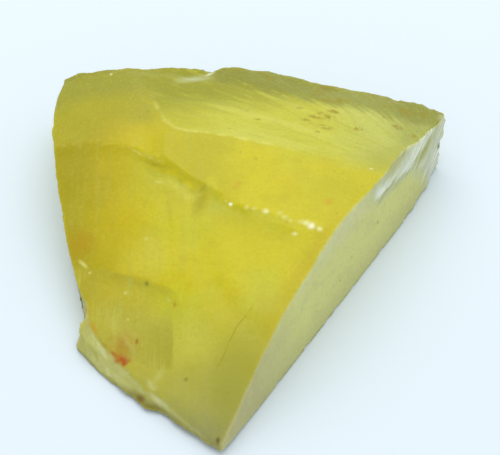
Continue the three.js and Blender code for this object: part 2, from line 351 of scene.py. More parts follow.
# %% Relief on the breaks
SHELF_LEVEL_MM = 13.1
SHELF_SLOPES = (-0.05, 0.035)
SHELF_RISE_MM = 0.35
STRIAE_MM = 0.02
RIDGE_STEP_MM = 0.05
LEDGE_STEP_MM = 0.04
CUSP_STEP_MM = 0.12
PATCH_STEP_MM = 0.05
STRIP_STEP_MM = 0.15
HACKLE_MM = 0.06
FLANK_SWELL_MM = 0.22
FLANK_SUNK_MM = 0.1
RIM_KNOBS_MM = 0.05
FLANK_KNOBS_MM = 0.09
TOP_SWELL_MM = 0.035
TOP_GRAIN_MM = 0.008


def rough(x, y, z=0.0, octaves=3):
    """Soft noise between about -1 and 1 at every vertex; the unit of x, y and z is one bump."""
    spots = zip(np.broadcast_to(x, count), np.broadcast_to(y, count), np.broadcast_to(z, count))
    return np.array([noise.fractal(spot, 1.0, 2.0, octaves) for spot in spots])


def lip(aside, rise, softness, above, below):
    """A step that dies away over so many millimetres above and below its line."""
    edge = ramp(aside, -softness, softness) - 0.5
    return rise * edge * np.exp(-np.abs(aside) / np.where(aside > 0, above, below))


x, y, z = places.T.copy()
ridge_aside, ledge_aside, patch_aside, strip_aside = (
    drawn[line][1] for line in ("ridge", "ledge", "patch", "strip"))
wander = rough(x / 1.8, y / 1.8, 2)

shelf = SHELF_LEVEL_MM + SHELF_SLOPES[0] * x + SHELF_SLOPES[1] * y
on_shelf = top * ramp(x, -14.5, -9.0) * ramp(x, -3.6, -4.6) * ramp(ledge_aside, 6.0, 3.5)
on_shelf = on_shelf * ramp(ledge_aside + 0.2 * wander, -0.7, 0.4)
places[:, 2] += on_shelf * np.clip(shelf - z, 0, SHELF_RISE_MM)

band = top * ramp(ridge_aside + 0.3 * wander, -0.2, 1.2)
streaks = rough(fan_along / 8, fan_aside / 0.9, 1)
streaks += 0.5 * rough(fan_along / 4, fan_aside / 0.45, 5)
relief = band * STRIAE_MM * streaks
relief += top * lip(ridge_aside + 0.3 * wander, RIDGE_STEP_MM, 0.5, 2.0, 2.0) * ramp(x, -9, -3)

uneven = 0.65 + 0.35 * rough(x / 3, 0.0, 9, 2)
step_rise = LEDGE_STEP_MM + CUSP_STEP_MM * ramp(x, -12, -4)
relief += top * lip(ledge_aside + 0.35 * wander, step_rise, 0.5, 3.5, 3.0) * uneven

patch_lip = lip(patch_aside + 0.15 * wander, PATCH_STEP_MM, 0.3, 1.5, 1.5)
relief += top * patch_lip * ramp(x, -11.5, -14)
relief += top * lip(strip_aside + 0.2 * wander, STRIP_STEP_MM, 0.3, 1.0, 1.0)

relief += hackled * HACKLE_MM * rough(run / 6, feather_aside / 0.55, 8)
flank = (1 - top) * (1 - sawn) * ramp(normals[:, 2], -0.9, -0.5)
swell = FLANK_SWELL_MM * rough(x / 6, y / 6, z / 6, 2) - FLANK_SUNK_MM
relief += flank * ramp(z, 9.0, 5.0) * swell
knobbly = RIM_KNOBS_MM + FLANK_KNOBS_MM * ramp(z, 8.5, 6.0)
knobs = rough(x / 2.2, y / 2.2, z / 2.2) + 0.3 * rough(x / 0.6, y / 0.6, z / 0.6)
relief += flank * knobbly * knobs
relief += top * TOP_SWELL_MM * rough(x / 4, y / 4, z / 4, 2)
relief += top * TOP_GRAIN_MM * rough(x / 0.9, y / 0.9, z / 0.9, 2)

places += normals * relief[:, None]
low, high = (np.array(corner) / MM for corner in cad_box)
places = np.clip(places, low, high)
citrine.data.vertices.foreach_set("co", (places * MM).ravel())
citrine.data.update()
print("relief from", round(float(relief.min()), 2), "to", round(float(relief.max()), 2), "mm")

# %% [markdown]
# Sharp edges get a thin painted highlight, and the edge along the back a painted dark line of
# shade. The angle between the faces round each vertex, counted outwards and blurred over a few
# neighbours, says how much of an edge it is. The share of the cut is blurred in the same way: it
# says how far inside the cut a place lies, for the yellow of the slope shines through the cut's
# upper edge.

# %% How much of an edge each place is
EDGE_BLUR_PASSES = 3
CUT_BLUR_PASSES = 12
# Along the hackled corner the edge of the cut is sharp again.
SHARP_ARRIS_RUN_MM = (28, 34)

folded = bmesh.new()
folded.from_mesh(citrine.data)
folded.edges.ensure_lookup_table()
ends = np.array([[v.index for v in edge.verts] for edge in folded.edges])
folds = np.array([edge.calc_face_angle_signed(0) for edge in folded.edges])
folded.free()
links = np.bincount(ends.ravel(), minlength=count)


def blurred(value, passes):
    """Shares every vertex's value with its neighbours, so many times over."""
    for _ in range(passes):
        there = np.bincount(ends[:, 0], value[ends[:, 1]], count)
        back = np.bincount(ends[:, 1], value[ends[:, 0]], count)
        value = 0.5 * value + 0.5 * (there + back) / links
    return value


mean_fold = np.bincount(ends.ravel(), np.repeat(folds, 2), count) / links
convex_fold = blurred(mean_fold, EDGE_BLUR_PASSES)
soft_cut = blurred(sawn, CUT_BLUR_PASSES)
inside_cut = ramp(soft_cut, 0.3, 0.95)
cut_tint = inside_cut + (1 - inside_cut) * ramp(run, *SHARP_ARRIS_RUN_MM)
print("fold from", round(float(convex_fold.min()), 2), "to", round(float(convex_fold.max()), 2))

# %% [markdown]
# The lines and shares become attributes of the mesh, for the material to read. A length to the
# side of a line blends well between two vertices, which keeps a drawn line sharp.

# %% Attributes for the finish


def keep(name, values):
    """Stores one number, or three, for every vertex."""
    values = np.asarray(values, np.float32)
    kind = "FLOAT" if values.ndim == 1 else "FLOAT_VECTOR"
    attribute = citrine.data.attributes.new(name, kind, "POINT")
    attribute.data.foreach_set("value" if values.ndim == 1 else "vector", values.ravel())


for name, (along, aside) in drawn.items():
    keep(name, np.stack([along, aside, np.zeros(count)], 1))
keep("saw_run", np.stack([run, height, feather_aside], 1))
keep("fan", np.stack([fan_along, fan_aside, past_cut], 1))
keep("sawn", sawn)
keep("cut_tint", cut_tint)
keep("hackled", hackled)
keep("top", top)
keep("convex_fold", convex_fold)
print(len(citrine.data.attributes), "attributes")

# %% [markdown]
# ## The stone's finish
# Milky quartz scatters light inside, so the Principled shader gets subsurface scattering: red and
# green light travel far in it and blue light hardly at all. The colour is built up in layers, the
# way a painter would: the honey yellow of the thick middle, the olive left side darkened by
# painted shade, the straw band, the khaki rim with painted shade, the pale cut, then stains and
# specks, with painted highlights, glints and lines of shade among them.

# %% Helpers for colours and shares
# The light that the surface reflects over every colour, and the light that falls on each part.
SHEEN = 0.035
LIGHT_ON_STONE = 0.99
LIGHT_ON_ARRIS = 0.88
LIGHT_ON_CUT = 0.8

stone = bpy.data.materials.new("milky_citrine")
stone.use_nodes = True
tree = stone.node_tree
shader = tree.nodes["Principled BSDF"]


def node(kind, inputs=None, **settings):
    """Adds one node; each input is a value or another node's socket."""
    made = tree.nodes.new(kind)
    for key, value in settings.items():
        setattr(made, key, value)
    for key, value in (inputs or {}).items():
        if isinstance(value, bpy.types.NodeSocket):
            tree.links.new(value, made.inputs[key])
        else:
            made.inputs[key].default_value = value
    return made


def paint(red, green, blue, light=LIGHT_ON_STONE):
    """A colour as the photograph shows it, 0 to 255, in linear light without the pale sheen."""
    shares = [c / 255 for c in (red, green, blue)]
    linear = [c / 12.92 if c <= 0.04045 else ((c + 0.055) / 1.055) ** 2.4 for c in shares]
    return tuple(max((c - SHEEN) / light, 0.001) for c in linear) + (1,)


def maths(operation, a, b):
    """One sum of two values."""
    return node("ShaderNodeMath", {0: a, 1: b}, operation=operation).outputs[0]


def times(first, *others):
    """The product of shares."""
    for other in others:
        first = maths("MULTIPLY", first, other)
    return first


def plus(first, *others):
    """The sum of values."""
    for other in others:
        first = maths("ADD", first, other)
    return first


def without(share):
    """What a share leaves over of one."""
    return maths("SUBTRACT", 1.0, share)


def between(value, low, high):
    """0 at low and 1 at high, with soft ends. Low may be the larger one."""
    names = {"Value": value, "From Min": low, "From Max": high}
    return node("ShaderNodeMapRange", names, interpolation_type="SMOOTHSTEP").outputs[0]


def hump(value, low, middle, high):
    """0 outside low and high, 1 at the middle."""
    return times(between(value, low, middle), between(value, high, middle))


def layer(under, over, *shares):
    """Lays one colour over another by the product of the shares."""
    mixed = node("ShaderNodeMix", {"Factor": times(*shares), 6: under, 7: over}, data_type="RGBA")
    return mixed.outputs[2]


def read(name):
    """An attribute of the mesh."""
    return node("ShaderNodeAttribute", attribute_name=name)


def sides(name):
    """The lengths along and to the side of a drawn line, and a third number if there is one."""
    return node("ShaderNodeSeparateXYZ", {0: read(name).outputs["Vector"]}).outputs[:3]


def set_inputs(of_node, values):
    """Sets a node's inputs by their names."""
    for name, value in values.items():
        of_node.inputs[name].default_value = value


def so_far(what):
    """Says what was just painted."""
    print(what, "painted,", len(tree.nodes), "nodes so far")


print("mid grey becomes", [round(c, 3) for c in paint(128, 128, 128)])

# %% [markdown]
# Noise is counted in bumps per millimetre. It fills the stone's own space as a cloud, or it is
# drawn out along a line. A spot is a ragged mark at one place.

# %% Helpers for noise and spots


def bumps(where, per_unit, detail):
    """Soft noise between 0 and 1, as a number and as a colour."""
    inputs = {"Vector": where, "Scale": per_unit, "Detail": detail}
    return node("ShaderNodeTexNoise", inputs).outputs


def stretched(a, b, a_scale, b_scale, detail, c=0.0):
    """Noise drawn out along a line: the scales are bumps per millimetre."""
    drawn_out = node("ShaderNodeCombineXYZ", {0: times(a, a_scale), 1: times(b, b_scale), 2: c})
    return bumps(drawn_out.outputs[0], 1.0, detail)["Fac"]


def vector(operation, a, b=(0, 0, 0), c=(0, 0, 0)):
    """One sum of vectors."""
    return node("ShaderNodeVectorMath", {0: a, 1: b, 2: c}, operation=operation).outputs[0]


coordinates = node("ShaderNodeTexCoord").outputs["Object"]
in_mm = vector("MULTIPLY", coordinates, (1 / MM,) * 3)


def cloud(per_mm, detail, shift=0.0):
    """Noise in the stone's own space. A shift in millimetres gives another cloud."""
    return bumps(vector("ADD", in_mm, (shift,) * 3), per_mm, detail)["Fac"]


def wavering(noise_value, reach):
    """Turns a noise between 0 and 1 into a length that wavers round zero."""
    return times(maths("SUBTRACT", noise_value, 0.5), reach)


RAGGED_PER_MM = 1.1
ROUND = (1, 1, 1)
shaken = vector("SUBTRACT", bumps(in_mm, RAGGED_PER_MM, 3.0)["Color"], (0.5, 0.5, 0.5))


def spot(place, reach, ragged_by, squash=ROUND, turn=0.0):
    """1 at a place in millimetres and 0 beyond the reach, with a ragged outline."""
    pushed = vector("MULTIPLY_ADD", shaken, (ragged_by,) * 3, in_mm)
    gap = vector("SUBTRACT", pushed, place)
    if turn:
        rotate = {"Vector": gap, "Angle": math.radians(-turn)}
        gap = node("ShaderNodeVectorRotate", rotate, rotation_type="Z_AXIS").outputs[0]
    flat = vector("MULTIPLY", gap, squash)
    distance = node("ShaderNodeVectorMath", {0: flat}, operation="LENGTH").outputs["Value"]
    return between(distance, reach, 0.0)


print("spots are ragged by", RAGGED_PER_MM, "bumps per millimetre")

# %% [markdown]
# The finish reads the lengths and shares kept above: u runs along a line and v to its side. A
# fine and a slow wavering length are added to them, so that no border is ruled.

# %% What the finish reads
ridge_v, rim_v, ledge_v, crest_v, patch_v, white_v = (
    sides(line)[1] for line in ("ridge", "rim", "ledge", "crest", "patch", "white_foot"))
strip_u, strip_v, _ = sides("strip")
crack_u, crack_v, _ = sides("crack")
pale_u, pale_v, _ = sides("pale_stria")
dark_u, dark_v, _ = sides("dark_stria")
saw_u, saw_v, feather_v = sides("saw_run")
fan_u, fan_v, cut_v = sides("fan")
is_top, is_sawn, is_hackled, fold_here, inside_cut_share = (
    read(share).outputs["Fac"] for share in ("top", "sawn", "hackled", "convex_fold", "cut_tint"))
place_x, place_y, place_z = node("ShaderNodeSeparateXYZ", {0: in_mm}).outputs[:3]
waver = wavering(cloud(0.7, 4.0), 2.0)
slow_waver = wavering(cloud(0.16, 3.0, 9.0), 8.0)
drift_x = plus(place_x, slow_waver)
drift_y = plus(place_y, slow_waver)


def wavy(value, share):
    """A length that wavers by a share of the fine waver."""
    return plus(value, times(waver, share))


print("the finish reads", len(citrine.data.attributes), "attributes")

# %% [markdown]
# The colours below are those of the photograph. Each zone begins and ends at one of the drawn
# lines. Broad noise moves the slow changes about, so that the yellow looks cloudy like milk in
# honey. The numbers in a between or a hump are millimetres, or levels of a noise. A last number
# in a layer is its strength.

# %% Broad colours
HONEY = paint(211, 201, 47)
AMBER = paint(209, 195, 36)
LIME = paint(207, 203, 64)
DEEP = paint(201, 189, 34)
# Olive of the left side, darkened by painted shade.
SHADED_LEFT = paint(177, 165, 30)
WARM_LEFT = paint(202, 184, 34)
LEDGE_SHADE = paint(200, 196, 76)
SHELF_AMBER = paint(191, 181, 24)
# Painted light that lifts the real shade just under the step of the ledge.
LEDGE_LIGHT = paint(224, 219, 100)
GREEN_SHADE = paint(193, 190, 58)
LOBE = paint(196, 197, 84)
GLOW = paint(218, 209, 84)
# Painted shade for the right of the plateau, which the lamp lights strongly.
FAR_RIGHT_SHADE = paint(196, 189, 50)

colour = layer(HONEY, LIME, between(cloud(0.13, 4.0), 0.45, 0.65))
colour = layer(colour, AMBER, between(cloud(0.17, 4.0, 21.0), 0.5, 0.68), 0.7)
colour = layer(colour, DEEP, between(cloud(0.4, 4.0, 70.0), 0.5, 0.68), 0.5)
colour = layer(colour, WARM_LEFT, between(drift_x, -10.0, -18.0), 0.9)
# Painted shade darkens the left side.
colour = layer(colour, SHADED_LEFT, between(drift_x, -16.0, -24.0))
above_ledge = between(ledge_v, -0.3, 0.3)
below_ledge = between(wavy(ledge_v, 0.4), 0.15, -0.2)
left_shade = times(below_ledge, between(ledge_v, -6.0, -0.5), hump(place_x, -19.0, -12.0, -3.0))
colour = layer(colour, LEDGE_SHADE, left_shade, 0.7)
# Painted light just under the ledge, where the step's own shade is too dark.
under_ledge = hump(wavy(ledge_v, 0.3), -1.7, -0.6, 0.2)
ledge_light = times(under_ledge, hump(place_x, -14.0, -9.0, -2.0))
colour = layer(colour, LEDGE_LIGHT, ledge_light, 0.75)
lobe = times(spot((-4.2, 0.3, 12.2), 2.9, 0.8, (1.0, 1.5, 1.0), -20), between(ledge_v, 0.2, -0.3))
colour = layer(colour, LOBE, lobe, 0.7)
on_the_shelf = times(between(drift_x, 1.0, -6.0), between(place_x, -15.0, -11.0))
shelf_amber = times(on_the_shelf, between(plus(ledge_v, waver), -0.2, 0.8))
colour = layer(colour, SHELF_AMBER, shelf_amber, 0.75)
right_shade = times(below_ledge, between(ledge_v, -4.0, -0.4), hump(place_x, -9.0, 0.0, 9.0))
colour = layer(colour, GREEN_SHADE, right_shade, 0.7)

glow = spot((-13.4, -5.2, 8.2), 6.0, 3.0, (1.0, 1.2, 0.5))
colour = layer(colour, GLOW, glow, is_top, 0.55)

# Painted shade on the right of the plateau.
far_right_shade = spot((11.5, 3.0, 12.8), 9.0, 3.0, (1.0, 1.2, 0.5))
colour = layer(colour, FAR_RIGHT_SHADE, far_right_shade, above_ledge, 0.8)
so_far("broad colours")

# %% [markdown]
# The foot is thin, so the paper shines through it and greys the yellow. The lower left patch is
# an older, hazier break with upright fibres, and the narrow strip beside it is paler still.

# %% The foot, the patch and the strip
FOOT = paint(178, 176, 96)
DARK_FOOT = paint(170, 168, 72)
TIP = paint(150, 151, 114)
NEAR_ARRIS = paint(197, 182, 38)
PALE_CLOUD = paint(206, 203, 90)
PATCH = paint(188, 182, 80)
PATCH_CORNER = paint(182, 174, 72)
FIBRE = paint(192, 188, 78)
PATCH_FIBRE = paint(198, 196, 100)
PALE_STRIP = paint(196, 196, 124)
OLIVE_STRIP = paint(182, 180, 104)
MILKY_STRIP = paint(208, 209, 146)

foot_y = plus(place_y, times(slow_waver, 0.4))
colour = layer(colour, FOOT, between(foot_y, -8.0, -27.0), is_top)
colour = layer(colour, TIP, between(plus(place_y, waver), -22.0, -30.0), 0.8)
right_of_foot = between(wavy(place_x, 0.6), -5.6, -3.4)
dark_foot = times(right_of_foot, between(place_y, -15.0, -21.0), between(place_y, -30.0, -25.0))
colour = layer(colour, DARK_FOOT, dark_foot, 0.5)
near_arris = times(between(cut_v, -3.2, -0.4), hump(place_y, -24.0, -9.0, 9.0), is_top)
colour = layer(colour, NEAR_ARRIS, near_arris, 0.8)
pale_cloud = spot((-6.9, -16.0, 6.2), 5.5, 3.0, (1, 1.1, 0.5))
colour = layer(colour, PALE_CLOUD, pale_cloud, 0.8)

inside_patch = between(wavy(patch_v, 0.3), 0.2, -0.2)
in_patch = times(inside_patch, between(place_y, -3.0, -4.5))
patch_share = plus(0.4, times(between(drift_y, -8.0, -14.0), 0.5))
patch_share = times(patch_share, without(times(spot((-10.2, -10.6, 7.0), 4.5, 2.0), 0.8)))
colour = layer(colour, PATCH, in_patch, patch_share)
colour = layer(colour, PATCH_CORNER, in_patch, spot((-10.8, -17.0, 4.0), 5.5, 2.0), 0.9)
fibres = stretched(place_x, place_y, 1.2, 0.12, 4.0, 2.0)
left_fibres = times(between(fibres, 0.5, 0.64), between(place_x, 0.0, -9.0), is_top)
colour = layer(colour, FIBRE, left_fibres, 0.25)
colour = layer(colour, PATCH_FIBRE, in_patch, between(fibres, 0.5, 0.64), 0.4)
in_strip = between(wavy(strip_v, 0.4), 0.15, -0.3)
strip_streak = stretched(strip_u, strip_v, 0.25, 1.1, 4.0, 7.0)
strip_colour = layer(PALE_STRIP, OLIVE_STRIP, between(strip_streak, 0.52, 0.66))
strip_colour = layer(strip_colour, MILKY_STRIP, between(strip_streak, 0.47, 0.36))
strip_colour = layer(strip_colour, OLIVE_STRIP, between(place_y, -14.5, -11.5), 0.7)
colour = layer(colour, strip_colour, in_strip)
so_far("foot, patch and strip")

# %% [markdown]
# The upper left break turns from honey at the ledge to khaki at the rim. The band begins just as
# khaki on the left and turns straw yellow in the middle and grey-green at the far corner. Its
# fine striae are noise that is long along the fan and short across it. Shorter feathers spread
# out from one place on the rim. Painted shade darkens the band and the rim towards the back, and
# a painted highlight runs along the foot of the band.

# %% The upper left break, the striated band and the rim
KHAKI_TOP = paint(164, 162, 68)
UPPER_LEFT = paint(179, 172, 60)
BAND_LEFT = paint(192, 187, 66)
STRAW = paint(202, 200, 80)
PLUME = paint(209, 209, 98)
BAND_OLIVE = paint(160, 159, 62)
STRIA = paint(188, 186, 74)
BAND_GREY = paint(196, 200, 112)
BAND_CORNER = paint(170, 175, 98)
# Olive painted shade of the rim, which turns away from the light.
RIM_OLIVE_SHADE = paint(144, 146, 70)
RIM_GREY = paint(150, 154, 84)
RIM_BROWN = paint(152, 140, 52)
# Painted highlight on the ridge at the foot of the band.
RIDGE_HIGHLIGHT = paint(220, 217, 114)
STAR_POINT = (11.7, 21.6, 0.0)

left_of_ridge = between(ridge_v, 2.0, 1.2)
upper_left = times(above_ledge, left_of_ridge, between(drift_x, -9.0, -14.0))
colour = layer(colour, UPPER_LEFT, upper_left, between(drift_y, 12.0, 17.0))
colour = layer(colour, KHAKI_TOP, upper_left, between(drift_y, 18.5, 24.0))
# Painted shade along the back rim.
back_rim_shade = times(between(wavy(place_y, 0.5), 25.8, 27.2), between(place_x, -5.0, -7.0))
colour = layer(colour, RIM_OLIVE_SHADE, back_rim_shade, 0.6)

band_sharpness = without(times(between(place_x, 3.0, 11.0), 0.7))
in_band = between(times(wavy(ridge_v, 0.5), band_sharpness), -0.5, 0.5)
fine_streak = stretched(fan_u, fan_v, 0.14, 1.5, 5.0)
broad_streak = stretched(fan_u, fan_v, 0.07, 0.4, 4.0, 4.0)
band_colour = layer(BAND_LEFT, STRAW, between(drift_x, -13.0, -4.0))
plume = times(between(broad_streak, 0.45, 0.6), between(drift_x, -8.0, -2.0))
band_colour = layer(band_colour, PLUME, plume, 0.7)
band_colour = layer(band_colour, BAND_GREY, between(drift_x, 9.0, 17.0), 0.85)
# Painted shade: the band darkens upwards, towards the rim that turns away from the light.
right_lean = times(plus(place_x, 7.0), -0.2)
up_band = plus(place_y, right_lean, wavering(fine_streak, 6.0))
rimward_shade = times(between(up_band, 14.8, 22.0), between(place_x, 16.0, 5.0))
band_colour = layer(band_colour, BAND_OLIVE, rimward_shade)
band_colour = layer(band_colour, BAND_CORNER, between(drift_x, 17.0, 22.0))
band_colour = layer(band_colour, STRIA, between(fine_streak, 0.5, 0.66), 0.42)
pale_streak = times(between(fine_streak, 0.47, 0.36), between(place_x, -8.0, 4.0))
band_colour = layer(band_colour, PLUME, pale_streak, 0.34)
dark_here = times(hump(wavy(dark_v, 0.5), -0.9, 0.0, 0.7), hump(dark_u, -1.0, 8.0, 20.0))
dark_here = times(dark_here, between(cloud(0.5, 3.0, 81.0), 0.38, 0.6))
band_colour = layer(band_colour, BAND_OLIVE, dark_here, 0.6)
pale_here = times(hump(wavy(pale_v, 0.5), -0.7, 0.1, 1.0), between(pale_u, -1.0, 4.0))
pale_here = times(pale_here, between(pale_u, 22.0, 15.0))
pale_here = times(pale_here, between(cloud(0.5, 3.0, 83.0), 0.35, 0.6))
band_colour = layer(band_colour, PLUME, pale_here, 0.7)
star_gap = vector("MULTIPLY", vector("SUBTRACT", in_mm, STAR_POINT), (1, 1, 0))
star_x, star_y, _ = node("ShaderNodeSeparateXYZ", {0: star_gap}).outputs[:3]
star_reach = node("ShaderNodeVectorMath", {0: star_gap}, operation="LENGTH").outputs["Value"]
star_angle = maths("ARCTAN2", star_y, star_x)
star_sector = times(between(star_angle, -0.4, -0.7), between(star_angle, -2.2, -1.8))
star_share = times(between(star_reach, 9.0, 3.0), star_sector)
star_streak = stretched(star_reach, star_angle, 0.15, 8.0, 4.0, 3.0)
band_colour = layer(band_colour, PLUME, star_share, between(star_streak, 0.5, 0.62), 0.45)
band_colour = layer(band_colour, STRIA, star_share, between(star_streak, 0.47, 0.36), 0.45)
colour = layer(colour, band_colour, in_band)
# A painted highlight where the ridge at the foot of the band catches the light.
ridge_highlight_line = hump(wavy(ridge_v, 0.2), -0.35, 0.05, 0.6)
ridge_grain = between(cloud(0.5, 2.0, 5.0), 0.38, 0.6)
ridge_highlight = times(ridge_highlight_line, ridge_grain, between(place_x, 10.0, 2.0))
ridge_strength = plus(0.5, times(between(place_x, -11.0, -8.0), 0.35))
ridge_highlight = times(ridge_highlight, between(place_x, -14.0, -12.5), ridge_strength)
colour = layer(colour, RIDGE_HIGHLIGHT, ridge_highlight)
# The rim strip: olive painted shade, broken by grey streaks and brown clouds.
rim_fringe = plus(rim_v, times(waver, 0.8), wavering(fine_streak, 5.0))
in_rim = times(in_band, between(rim_fringe, -1.6, 1.0), between(place_x, -7.0, -4.0))
grey_streak = times(between(fine_streak, 0.42, 0.58), between(place_x, -2.0, 8.0))
rim_colour = layer(RIM_OLIVE_SHADE, RIM_GREY, grey_streak)
rim_colour = layer(rim_colour, RIM_BROWN, between(cloud(0.35, 3.0, 15.0), 0.52, 0.64), 0.6)
colour = layer(colour, rim_colour, in_rim, 0.85)
so_far("band and rim")

# %% [markdown]
# The left arm of the ledge gets a thin painted highlight along its crest and painted shade in the
# hollow below it.

# %% The crest: painted highlight and painted shade
CREST_HIGHLIGHT = paint(214, 209, 108)
HOLLOW_SHADE = paint(172, 164, 48)

# Painted highlight along the crest.
crest_highlight_line = hump(wavy(crest_v, 0.3), -0.2, 0.05, 0.35)
crest_ends = times(between(place_x, -9.0, -10.5), between(place_x, -22.0, -15.0))
crest_highlight = times(crest_highlight_line, crest_ends, is_top, between(cloud(0.6, 3.0, 61.0), 0.4, 0.62))
colour = layer(colour, CREST_HIGHLIGHT, crest_highlight, 0.75)
# Painted shade in the hollow under the crest.
hollow_shade_line = hump(wavy(crest_v, 0.1), -0.75, -0.42, -0.1)
hollow = times(hollow_shade_line, is_top, hump(place_x, -15.5, -12.5, -9.6))
colour = layer(colour, HOLLOW_SHADE, hollow, 0.6)
so_far("crest and hollow")

# %% [markdown]
# The cut is matt and pale, for the saw left it full of tiny pits. Its foot gets a painted dark
# line of contact shade. The hackled corner is whiter still because each feather's edge is a thin
# crack full of air, and a painted sheen of reflected light lies over its whitest wedge.

# %% The sawn side and its hackled corner
CUT = paint(197, 198, 130, LIGHT_ON_CUT)
CUT_TOP = paint(196, 197, 150, LIGHT_ON_CUT)
CUT_LOW = paint(184, 185, 128, LIGHT_ON_CUT)
CUT_TIP = paint(174, 171, 126, LIGHT_ON_CUT)
CUT_CONTACT_SHADE = paint(122, 120, 76, LIGHT_ON_CUT)
CUT_ARRIS = paint(184, 181, 84, LIGHT_ON_ARRIS)
HACKLE = paint(190, 195, 176, LIGHT_ON_CUT)
HACKLE_LOW = paint(182, 187, 150, LIGHT_ON_CUT)
HACKLE_OLIVE = paint(160, 163, 104, LIGHT_ON_CUT)
WHITE_FEATHER_AND_SHEEN = paint(226, 231, 224, LIGHT_ON_CUT)

cut_colour = layer(CUT, CUT_TOP, between(plus(saw_v, waver), 8.0, 12.5))
cut_colour = layer(cut_colour, CUT_LOW, between(plus(saw_v, waver), 5.0, 0.5))
cut_colour = layer(cut_colour, CUT_TIP, between(plus(saw_u, slow_waver), 13.0, 0.0))
# Painted contact shade along the foot of the cut.
cut_contact_shade = between(wavy(saw_v, 0.5), 0.5, 0.1)
cut_colour = layer(cut_colour, CUT_CONTACT_SHADE, cut_contact_shade, 0.6)
cut_colour = layer(cut_colour, CUT_LOW, between(cloud(0.5, 4.0, 33.0), 0.5, 0.7), 0.5)
arris_colour = layer(CUT_ARRIS, CUT_TIP, between(place_y, -6.0, -18.0))
cut_colour = layer(arris_colour, cut_colour, inside_cut_share)
colour = layer(colour, cut_colour, is_sawn)
feather = stretched(saw_u, feather_v, 0.2, 1.1, 5.0, 8.0)
white_fringe = plus(white_v, wavering(feather, 2.0))
hackle_colour = layer(HACKLE_LOW, HACKLE, between(plus(saw_u, slow_waver), 42.0, 47.0))
hackle_colour = layer(hackle_colour, HACKLE_OLIVE, between(feather, 0.48, 0.36), 0.7)
wedge_ends = times(between(saw_u, 40.8, 42.5), between(saw_u, 47.2, 45.6))
olive_wedge = times(hump(white_fringe, -2.4, -0.9, 0.0), wedge_ends)
hackle_colour = layer(hackle_colour, HACKLE_OLIVE, olive_wedge)
white_feather = times(between(feather, 0.53, 0.64), between(saw_u, 38.0, 43.0))
hackle_colour = layer(hackle_colour, WHITE_FEATHER_AND_SHEEN, white_feather, 0.6)
colour = layer(colour, hackle_colour, is_hackled, 0.95)
# The whitest wedge: white feathers under a painted sheen of reflected light.
white_ends = times(between(saw_u, 30.4, 32.4), between(saw_u, 50.0, 46.0))
white_wedge_and_sheen = times(between(white_fringe, -0.2, 0.5), between(white_fringe, 3.2, 0.8), white_ends)
feathering = plus(0.5, times(between(feather, 0.4, 0.6), 0.5))
colour = layer(colour, WHITE_FEATHER_AND_SHEEN, white_wedge_and_sheen, is_sawn, feathering, 0.9)
so_far("cut and hackled corner")

# %% [markdown]
# The back, the far left side and the foot are rough breaks that the light hardly reaches: a
# greyer straw with cloudy patches. Sharp edges carry a little painted white highlight, and the
# edge along the back and the line where the stone meets the paper get painted dark lines of shade.

# %% Rough flanks, painted edge highlights and painted shade lines
FLANK = paint(184, 180, 96)
DARK_FLANK = paint(168, 165, 84)
EDGE_HIGHLIGHT = paint(208, 208, 150)
BACK_EDGE_SHADE = paint(134, 135, 74)
CONTACT_SHADE = paint(122, 114, 60)
DARK_MOTTLE = paint(176, 172, 50)
PALE_MOTTLE = paint(222, 218, 84)

flank_here = times(between(is_top, 0.6, 0.2), between(is_sawn, 0.4, 0.1))
flank_colour = layer(FLANK, DARK_FLANK, between(cloud(0.4, 4.0, 30.0), 0.45, 0.68))
colour = layer(colour, flank_colour, flank_here)
# Painted highlight on sharp edges.
edge_highlight = times(between(fold_here, 0.12, 0.35), between(cloud(1.3, 3.0, 6.0), 0.48, 0.66))
colour = layer(colour, EDGE_HIGHLIGHT, edge_highlight, between(place_y, 16.0, 12.0), 0.15)
# Painted dark line of shade along the back edge.
far_back = between(plus(place_y, times(place_x, 0.15)), 18.0, 22.0)
back_edge_shade = times(between(fold_here, 0.08, 0.25), far_back, without(is_sawn))
colour = layer(colour, BACK_EDGE_SHADE, back_edge_shade, 0.7)
# Painted contact shade where the stone meets the paper.
near_tip = between(place_y, -17.0, -22.0)
foot_height = plus(place_z, times(waver, 0.2), times(near_tip, -0.7))
contact_shade = times(between(foot_height, 0.9, 0.1), without(is_sawn))
colour = layer(colour, CONTACT_SHADE, contact_shade, 0.7)
mottle = cloud(2.2, 3.0, 90.0)
colour = layer(colour, DARK_MOTTLE, between(mottle, 0.5, 0.66), 0.16)
pale_mottle = times(between(mottle, 0.5, 0.34), between(place_y, -24.0, -8.0))
colour = layer(colour, PALE_MOTTLE, pale_mottle, 0.13)
so_far("flanks and edges")
